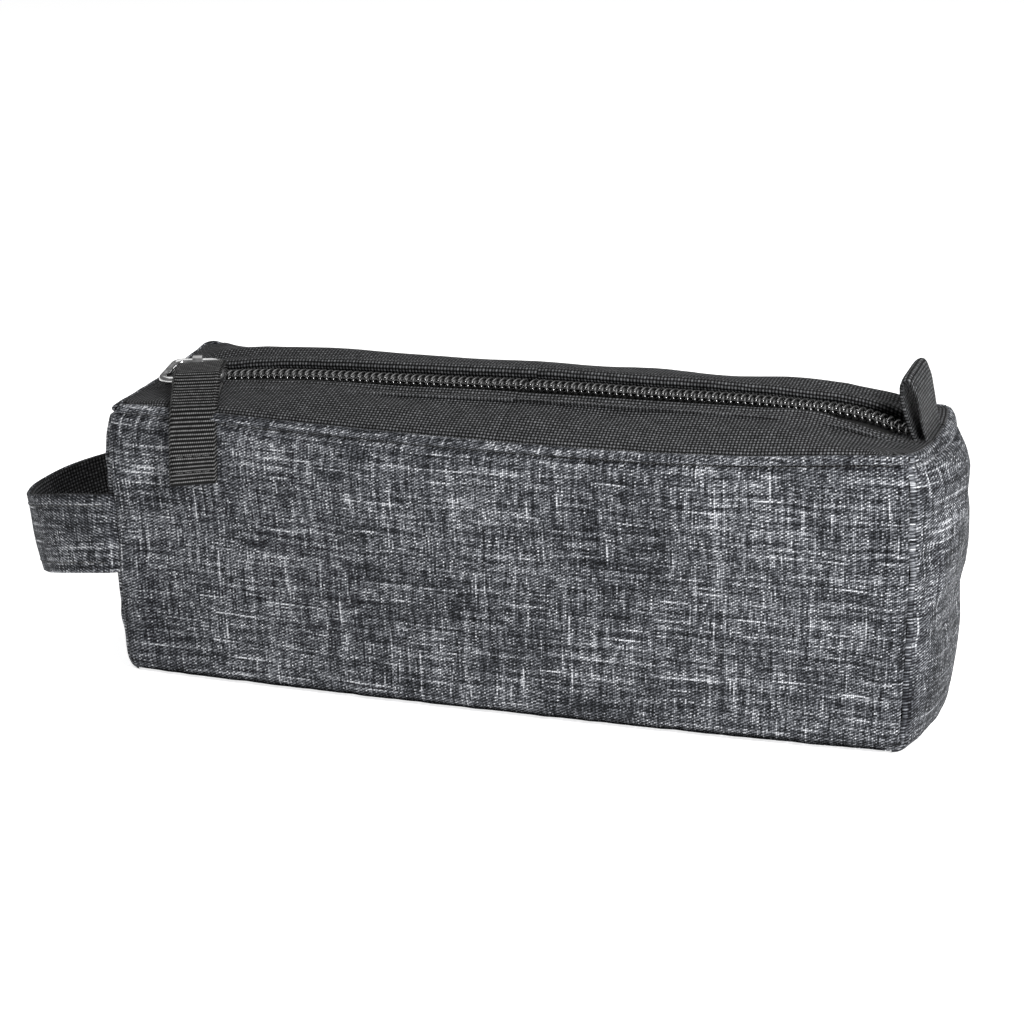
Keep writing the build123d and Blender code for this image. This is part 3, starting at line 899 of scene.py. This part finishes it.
def strip_profile(seam_y, seam_z, fold_z, tape_z, crown):
    """A strip's cross-section (y, z): from inside the top seam, over the crown, round the fold and under."""
    y0, z0 = seam_y - CLOTH - 0.3, seam_z - 0.1
    y1, z1 = FOLD_Y, fold_z
    return [
        (y0 + 0.3, z0 - 4.0),
        (y0, z0 - 0.9),
        (y0 - 0.7, z0),
        (y0 + (y1 - y0) * 0.3, z0 + (z1 - z0) * 0.34 + crown),
        (y0 + (y1 - y0) * 0.62, z0 + (z1 - z0) * 0.62 + crown * 0.9),
        (y1 + 3.2, z1 - 0.95 + crown * 0.35),
        (y1 + 0.9, z1 - 0.15),
        (y1, z1 - 0.9),
        (y1 + 0.9, min(z1 - 1.5, tape_z + 0.5)),
        (y1 + 5.0, tape_z + 0.2),
    ]


def strip_grid(side_y, x):
    """The middle surface of the front or back black strip, with cloth coordinates."""
    seam = top_edge_line(SIDES[side_y], x)
    fold_z = smooth(STRIP_LINE[side_y], x)
    tape_z = smooth(CHAIN_HEIGHT, x) - COIL_HALF_HEIGHT + 0.4
    crown = STRIP_CROWN[side_y] * np.clip((98 - np.abs(x)) / 22, 0, 1) ** 0.8
    rows = []
    for i, place in enumerate(x):
        profile = strip_profile(abs(seam[i, 1]), seam[i, 2], fold_z[i], tape_z[i], crown[i])
        y, z = curve_through(profile, STRIP_POINTS).T
        rows.append(np.stack([np.full(len(y), place), side_y * y, z], axis=1))
    grid = np.stack(rows)
    lengths = run_length(grid[len(x) // 2])
    uv = lattice(x, lengths)
    middle = bell(np.linspace(0, 1, STRIP_POINTS)[None], 0.45, 0.25)
    inner = np.clip((100 - np.abs(x)) / 12, 0, 1)[:, None]
    lift = 0.4 * middle * inner * swell(uv[..., 0], uv[..., 1] * 2, 21 + side_y, 25.0, 70.0)
    from_fold = lengths[folded_edge(grid)] - lengths[None]
    valley = 0.18 * bell(from_fold, TOPSTITCH_INSET, 0.8) * inner
    grid[..., 2] += lift - valley
    return fitted_to_ends(grid), uv


def halves(x0, x1, step):
    """Each side's left and right half, which meet at the middle, with places along X."""
    left = np.linspace(x0, 0, int(-x0 / step) + 1)
    right = np.linspace(0, x1, int(x1 / step) + 1)
    for side_y, side in SIDES.items():
        yield side_y, side, "left", left
        yield side_y, side, "right", right


def attach_half(piece, half, side_y, slot, *stands_for):
    """Bakes a half's placement into its mesh and hides the CAD nodes that it stands for."""
    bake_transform(piece)
    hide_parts(*stands_for)


def build_strips():
    """The two black strips of the top."""
    for side_y, side, half, x in halves(-STRIP_END, STRIP_END, 1.2):
        grid, uv = strip_grid(side_y, x)
        piece = thick_sheet(f"{side}_strip_{half}", grid, uv, CLOTH, OXFORD)
        attach_half(piece, half, side_y, "black_fabric", f"{side}_top_strip")


def build_zip_ends():
    """The black cloth that fills in past each end of the zip, up to the end wall's top seam."""
    y = np.linspace(-20, 20, 34)
    share = np.linspace(0, 1, 12)[:, None]
    for sign, half in ENDS.items():
        edge_x, edge_z = end_edge(half, y)
        inner_x = sign * (FIT_START + 2.0)
        inner_z = float(smooth(CHAIN_HEIGHT, inner_x)) - 2.0
        grid = np.zeros((len(share), len(y), 3))
        grid[..., 0] = inner_x + share * (edge_x - sign * 0.7 - inner_x)
        grid[..., 1] = y
        grid[..., 2] = inner_z + share**2 * (edge_z - 0.5 - inner_z)
        piece = thick_sheet(f"{half}_zip_end_cloth", grid, grid[..., :2].copy(), CLOTH, OXFORD)
        attach(piece, "case", "black_fabric", f"{half}_zip_end")


def build_seam_folds():
    """The soft fold of black cloth under each strip's outer edge, which the strip turns about as it opens."""
    radius = 1.15
    x = np.linspace(-90, 90, 120)
    for side_y, side in SIDES.items():
        line = top_edge_line(side, x) - [0, side_y * 1.9, radius]
        piece = joined(f"{side}_seam_fold", [tube(line, radius, 12)], OXFORD)
        attach(piece, "case", "black_fabric", f"{side}_top_strip")


def build_tapes():
    """The woven tapes that carry the coils and reach in under the strips."""
    y = np.linspace(0.3, TAPE_WIDTH, 8)
    for side_y, side, half, x in halves(-99.0, 99.5, 2.0):
        uv = lattice(x, y)
        z = smooth(CHAIN_HEIGHT, x)[:, None] - COIL_HALF_HEIGHT - 0.25 + 0.02 * (y[None] - 4)
        grid = np.stack([uv[..., 0], side_y * uv[..., 1], z], axis=-1)
        piece = thick_sheet(f"{side}_tape_{half}", grid, uv, TAPE_THICK, ZIP_TAPE)
        attach_half(piece, half, side_y, "zip_tape", f"{side}_zip_tape")


def coil_path(side_y, x0, x1):
    """The helix of one coil. Its heads reach over the centre line, between those of the other coil."""
    turns = int((x1 - x0) / COIL_PITCH)
    angle = np.linspace(0, 2 * math.pi * turns, turns * COIL_STEPS + 1)
    offset = 0.0 if side_y < 0 else COIL_PITCH / 2
    x = x0 + offset + COIL_PITCH * angle / (2 * math.pi)
    across = np.cos(angle)
    y = side_y * (COIL_MIDDLE - COIL_REACH * across)
    z = smooth(CHAIN_HEIGHT, x) + COIL_RISE * np.sin(angle)
    head = np.clip(across, 0, 1) ** 3
    return np.stack([x, y, z], axis=1), WIRE + 0.13 * head


def build_coils():
    """The two nylon coils."""
    for side_y, side in SIDES.items():
        for half, (x0, x1) in COIL_ENDS.items():
            path, radius = coil_path(side_y, x0, x1)
            piece = joined(f"{side}_coil_{half}", [tube(path, radius)], NYLON)
            attach_half(piece, half, side_y, "nylon_coil", f"{side}_zip_coil")


def build_coil_stitches():
    """The thread that holds each coil down on its tape, along the coil's outer shoulder."""
    for side_y, side, half, x in halves(-90.0, 96.0, 1.0):
        y = np.full(len(x), side_y * (COIL_MIDDLE + COIL_REACH - 0.3))
        line = np.stack([x, y, smooth(CHAIN_HEIGHT, x) + COIL_RISE * 0.75], axis=1)
        rows = stitches(line, [0, side_y * 0.6, 0.8], *COIL_STITCH)
        piece = joined(f"{side}_coil_stitches_{half}", rows, THREAD)
        attach_half(piece, half, side_y, "thread", f"{side}_zip_coil")


def build_edge_stitches():
    """The row of stitches under the top edge of the front and back walls."""
    for side in SIDES.values():
        s = np.linspace(0.012, 0.988, 400)
        grid, _ = wall_grid(side, s, np.array([0.9, 1 - STITCH_DROP / WALL_TOP]))
        piece = joined(f"{side}_edge_stitches", stitches(grid[:, 1], WALLS[side][2], *EDGE_STITCH), THREAD)
        attach(piece, "case", "thread", f"{side}_edge_topstitch")


def build_strip_stitches():
    """The row of stitches that holds each strip's folded edge to the zip tape."""
    for side_y, side, half, x in halves(-98.0, 98.5, 1.0):
        grid, uv = strip_grid(side_y, x)
        apex = folded_edge(grid)
        from_fold = uv[0, apex, 1] - uv[0, :apex, 1]
        line = grid[:, np.argmin(np.abs(from_fold - TOPSTITCH_INSET))] + UP * CLOTH / 2
        piece = joined(f"{side}_strip_stitches_{half}", stitches(line, UP, *STRIP_STITCH), THREAD)
        attach_half(piece, half, side_y, "thread", f"{side}_strip_topstitch")


# ---- Pull strap, tab and carry loop ----

# The strap's middle line, outward from the near bar and up from it: it starts at the sewn end of the inner
# layer, passes under the bar, folds back over it and hangs down in front.
STRAP_ROUTE = [
    (14.9, -20.4), (15.0, -12.0), (14.5, -7.2), (13.2, -4.6), (10.6, -3.0), (7.0, -2.3), (3.0, -1.9),
    (-2.5, -1.8), (-6.6, -1.2), (-8.9, 0.2), (-8.4, 1.8), (-5.6, 2.45), (0.0, 2.4), (3.4, 2.3), (5.4, 1.4),
    (7.8, -0.3), (11.2, -2.2), (14.2, -4.1), (15.9, -7.0), (16.5, -12.0), (16.3, -20.6), (15.9, -22.1),
    (15.4, -20.8),
]
STRAP_POINTS = 620
STRAP_HALF = 5.4
STRAP_THICK = 1.0
# Where points stand across the strap, as shares of its half width: closer along its rolled selvedges.
STRAP_COLUMNS = np.array([0, 0.25, 0.5, 0.72, 0.84, 0.89, 0.94, 1.0])
SELVEDGE = 0.92
RIB_PITCH = 1.0
SEAM_ROWS = (4.7, 8.9)  # from the strap's end to its two rows of stitches

# The tab's middle line as (x, z): up one layer, over the fold and down the other.
TAB_ROUTE = [
    (99.2, 69.2), (98.0, 71.6), (96.2, 76.0), (94.9, 80.5), (94.2, 85.0), (94.5, 87.5), (95.5, 88.1),
    (97.0, 85.8), (98.2, 81.4), (99.2, 76.8), (100.3, 72.6), (100.8, 69.4),
]
TAB_HALF = 7.5
TAB_THICK = 0.8

# The carry loop's middle line, from the front seam round its tip to the back seam.
LOOP_ROUTE = [
    (-101.4, -22.6, 36.2), (-104.2, -24.0, 36.1), (-112.0, -23.8, 35.3), (-121.0, -20.8, 33.5),
    (-128.8, -14.2, 30.9), (-134.0, -6.0, 29.0), (-135.5, 2.0, 29.0), (-133.8, 9.5, 29.9),
    (-128.4, 16.8, 31.8), (-120.0, 21.5, 34.2), (-111.0, 23.7, 35.8), (-104.2, 24.0, 36.4),
    (-101.4, 22.6, 36.2),
]
LOOP_HALF = 10.0
LOOP_LAYER = 0.85
LOOP_COLUMNS = 17


def pull_axes():
    """The near bar's middle, the direction across the strap and the direction that the pull points in."""
    joint = next(j for j in frame["joints"] if j["name"] == "strap_lift")
    across = -np.array(joint["axis"], float)
    return np.array(joint["pos_m"]) / MM, across, unit(np.cross(across, UP))


def strap_grid():
    """The strap's middle surface, its cloth coordinates and its thickness, which swells at each rib."""
    middle, across, outward = pull_axes()
    route = curve_through(STRAP_ROUTE, STRAP_POINTS)
    w = STRAP_HALF * np.concatenate([-STRAP_COLUMNS[:0:-1], STRAP_COLUMNS])
    lg, wg = np.meshgrid(run_length(route), w, indexing="ij")
    hang = np.clip(-route[:, 1:] / 24, 0, 1)
    behind = np.clip(-route[:, :1] / 8, 0, 1)
    shift = 2.1 + 0.03 * np.clip(route[:, :1], 0, None) - 0.5 * hang**2
    out = route[:, :1] - 0.2 * behind * wg + 0.12 * swell(lg, wg, 5, 9.0, 22.0)
    grid = middle + out[..., None] * outward + (wg + shift)[..., None] * across
    grid[..., 2] += route[:, 1:] + 0.06 * wg * (0.3 + hang)
    rib = np.abs(np.sin(math.pi * lg / RIB_PITCH))
    roll = bell(np.abs(wg) / STRAP_HALF, SELVEDGE, 0.045)
    return grid, np.stack([wg, lg], axis=-1), STRAP_THICK + 0.28 * rib + 0.4 * roll * rib


def build_strap():
    """The folded webbing strap and the stitches that close it."""
    grid, uv, thickness = strap_grid()
    strap = thick_sheet("webbing_strap", grid, uv, thickness, WEBBING)
    attach(strap, "strap", "webbing", "pull_strap")
    _, _, outward = pull_axes()
    length = uv[:, 0, 1]
    parts = []
    for from_end in SEAM_ROWS:
        row = np.argmin(np.abs(length - (length[-1] - from_end)))
        parts += stitches(grid[row, 3:-3] + outward * 0.64, outward, *STRAP_STITCH)
    seam = joined("strap_stitches", parts, THREAD)
    attach(seam, "strap", "thread", "pull_strap_stitch")


def build_tab():
    """The folded tab that stands at the right-hand end of the zip."""
    route = curve_through(TAB_ROUTE, 90)
    y = np.linspace(-TAB_HALF, TAB_HALF, 22)
    lg, yg = np.meshgrid(run_length(route), y, indexing="ij")
    height = np.clip((route[:, 1:] - 70) / 17, 0, 1)
    rounded = (np.abs(yg) / TAB_HALF) ** 6
    grid = np.zeros((*lg.shape, 3))
    grid[..., 0] = route[:, :1] + 0.05 * yg * height + 0.12 * height * swell(lg, yg, 3, 12, 30)
    grid[..., 1] = yg * (1 - 0.06 * height)
    grid[..., 2] = route[:, 1:] + (0.13 * yg - 0.8 * rounded) * height
    tab = thick_sheet("fabric_tab", grid, np.stack([yg, lg], axis=-1), TAB_THICK, OXFORD)
    attach(tab, "tab", "black_fabric", "end_tab")


def loop_grid(offset):
    """A layer of the loop: offset is inward from the outer layer's middle."""
    route = curve_through(LOOP_ROUTE, 150)
    length = run_length(route)
    inward = unit(np.cross(unit(np.gradient(route, axis=0)), UP))
    w = np.linspace(-LOOP_HALF, LOOP_HALF, LOOP_COLUMNS)
    lg, wg = np.meshgrid(length, w, indexing="ij")
    free = np.sin(math.pi * length / length[-1])[:, None]
    stand = offset + 0.35 * free * swell(lg, wg, 9, 16.0, 42.0)
    grid = route[:, None] + wg[..., None] * UP + stand[..., None] * inward[:, None]
    grid[..., 0] -= 0.2 * wg * free
    return grid, np.stack([lg, wg], axis=-1), inward


def build_loop():
    """The carry loop: heather cloth outside, black backing inside, and a row of stitches along each edge."""
    for name, offset, material, slot, stands_for in (
        ("loop_outer", 0.0, HEATHER, "heather_fabric", "carry_loop_outer"),
        ("loop_backing", LOOP_LAYER + 0.05, OXFORD, "black_fabric", "carry_loop_backing"),
    ):
        grid, uv, _ = loop_grid(offset)
        layer = thick_sheet(name, grid, uv, LOOP_LAYER, material)
        attach(layer, "case", slot, stands_for)
    grid, _, inward = loop_grid(-LOOP_LAYER / 2)
    free = slice(6, -6)
    parts = []
    for column in (2, -3):
        parts += stitches(grid[free, column], -inward[free], *EDGE_STITCH)
    rows = joined("loop_stitches", parts, THREAD)
    attach(rows, "case", "thread", "carry_loop_topstitch")


# ---- Inside ----

LINING_INSET = 2.6
BASE_LINING_HEIGHT = 2.9
BINDING_INSET = 3.6
BINDING_THICK = 1.2
BINDING_REACH = (4.0, 10.5)  # how far in from its seam an upright binding starts and ends


def build_lining():
    """The lining of the four walls and of the base."""
    for side in WALLS:
        s = np.linspace(0, 1, int(wall_length(side) / 4))
        grid, uv = wall_grid(side, s, np.linspace(0.035, 0.975, 20), inset=LINING_INSET)
        piece = surface(f"{side}_lining_cloth", grid[::-1], uv, LINING)
        attach(piece, "case", "lining_fabric", f"{side}_lining")
    x = np.linspace(-SEAM_X + 1.5, SEAM_X - 1.5, 60)
    y = np.linspace(-SEAM_Y - 1, SEAM_Y + 1, 20)
    xg, yg = np.meshgrid(x, y, indexing="ij")
    grid = np.stack([xg, yg, BASE_LINING_HEIGHT + 0.3 * swell(xg, yg, 13)], axis=-1)
    piece = surface("base_lining_cloth", grid, grid[..., :2], LINING)
    attach(piece, "case", "lining_fabric", "base_lining")


def build_seam_tapes():
    """Folded binding over the raw edges of the upright seams, pointing into the case."""
    h = np.linspace(0.05, 0.93, 40)
    w = np.linspace(*BINDING_REACH, 6)
    for corner in SEAM_LINES:
        line = seam_points(corner, h)
        toward = -np.sign(line) / math.sqrt(2)
        line[:, 2] = h * WALL_TOP
        grid = line[:, None] + toward[:, None] * w[None, :, None]
        grid[..., 0] += 0.5 * swell(h[:, None] * 71, w[None], 31, 15, 40)
        uv = lattice(line[:, 2], w)
        piece = thick_sheet(f"{corner}_binding", grid, uv, BINDING_THICK, BINDING)
        attach(piece, "case", "seam_tape", f"{corner}_seam_tape")


def build_base_tape():
    """The binding round the base, which stands up beside the lining."""
    h = np.array([0.035, 0.06, 0.09, 0.125])
    parts = []
    for side in WALLS:
        grid, uv = wall_grid(side, np.linspace(0.04, 0.96, 60), h, inset=BINDING_INSET)
        parts.append(sheet_solid(grid, uv, BINDING_THICK))
    piece = joined("base_binding", parts, BINDING)
    attach(piece, "case", "seam_tape", "base_seam_tape")


def rounded_clamp(name, low, high, stands_for):
    """A small pressed-metal clamp with softened edges."""
    low, high = np.array(low, float), np.array(high, float)
    bm = bmesh.new()
    bmesh.ops.create_cube(bm, size=1.0)
    for vertex in bm.verts:
        vertex.co = (low + high) / 2 + np.array(vertex.co) * (high - low)
    bmesh.ops.bevel(bm, geom=bm.edges[:], offset=0.45, segments=4, affect="EDGES", profile=0.5)
    points = [tuple(v.co) for v in bm.verts]
    faces = [tuple(v.index for v in f.verts) for f in bm.faces]
    bm.free()
    clamp = make_piece(name, points, faces, np.array(points)[:, :2], CAST_METAL)
    attach(clamp, "case", "cast_metal", stands_for)


def build_stops():
    """The clamps that stop the slider at each end of the zip."""
    z = float(smooth(CHAIN_HEIGHT, -95.3))
    for side_y, side in SIDES.items():
        y0, y1 = sorted((side_y * 2.1, side_y * 4.5))
        rounded_clamp(f"{side}_stop", (-96.2, y0, z - 1.5), (-94.4, y1, z + 1.0), f"{side}_top_stop")
    z = float(smooth(CHAIN_HEIGHT, 96.2))
    rounded_clamp("bottom_stop", (95.2, -3.3, z - 1.4), (97.4, 3.3, z + 1.4), "zip_bottom_stop")


# ---- The whole case ----


def plate_metal_nodes():
    """Gives the slider and the ring, which keep their CAD shapes, their metals."""
    for name, material in (("zip_slider", CAST_METAL), ("pull_ring", WIRE_METAL)):
        materials = frame["nodes"][name].data.materials
        materials.clear()
        materials.append(material)


simulate_walls()
build_walls()
build_base()
build_strips()
build_zip_ends()
build_seam_folds()
build_tapes()
build_coils()
build_coil_stitches()
build_edge_stitches()
build_strip_stitches()
build_strap()
build_tab()
build_loop()
build_lining()
build_seam_tapes()
build_base_tape()
build_stops()
plate_metal_nodes()
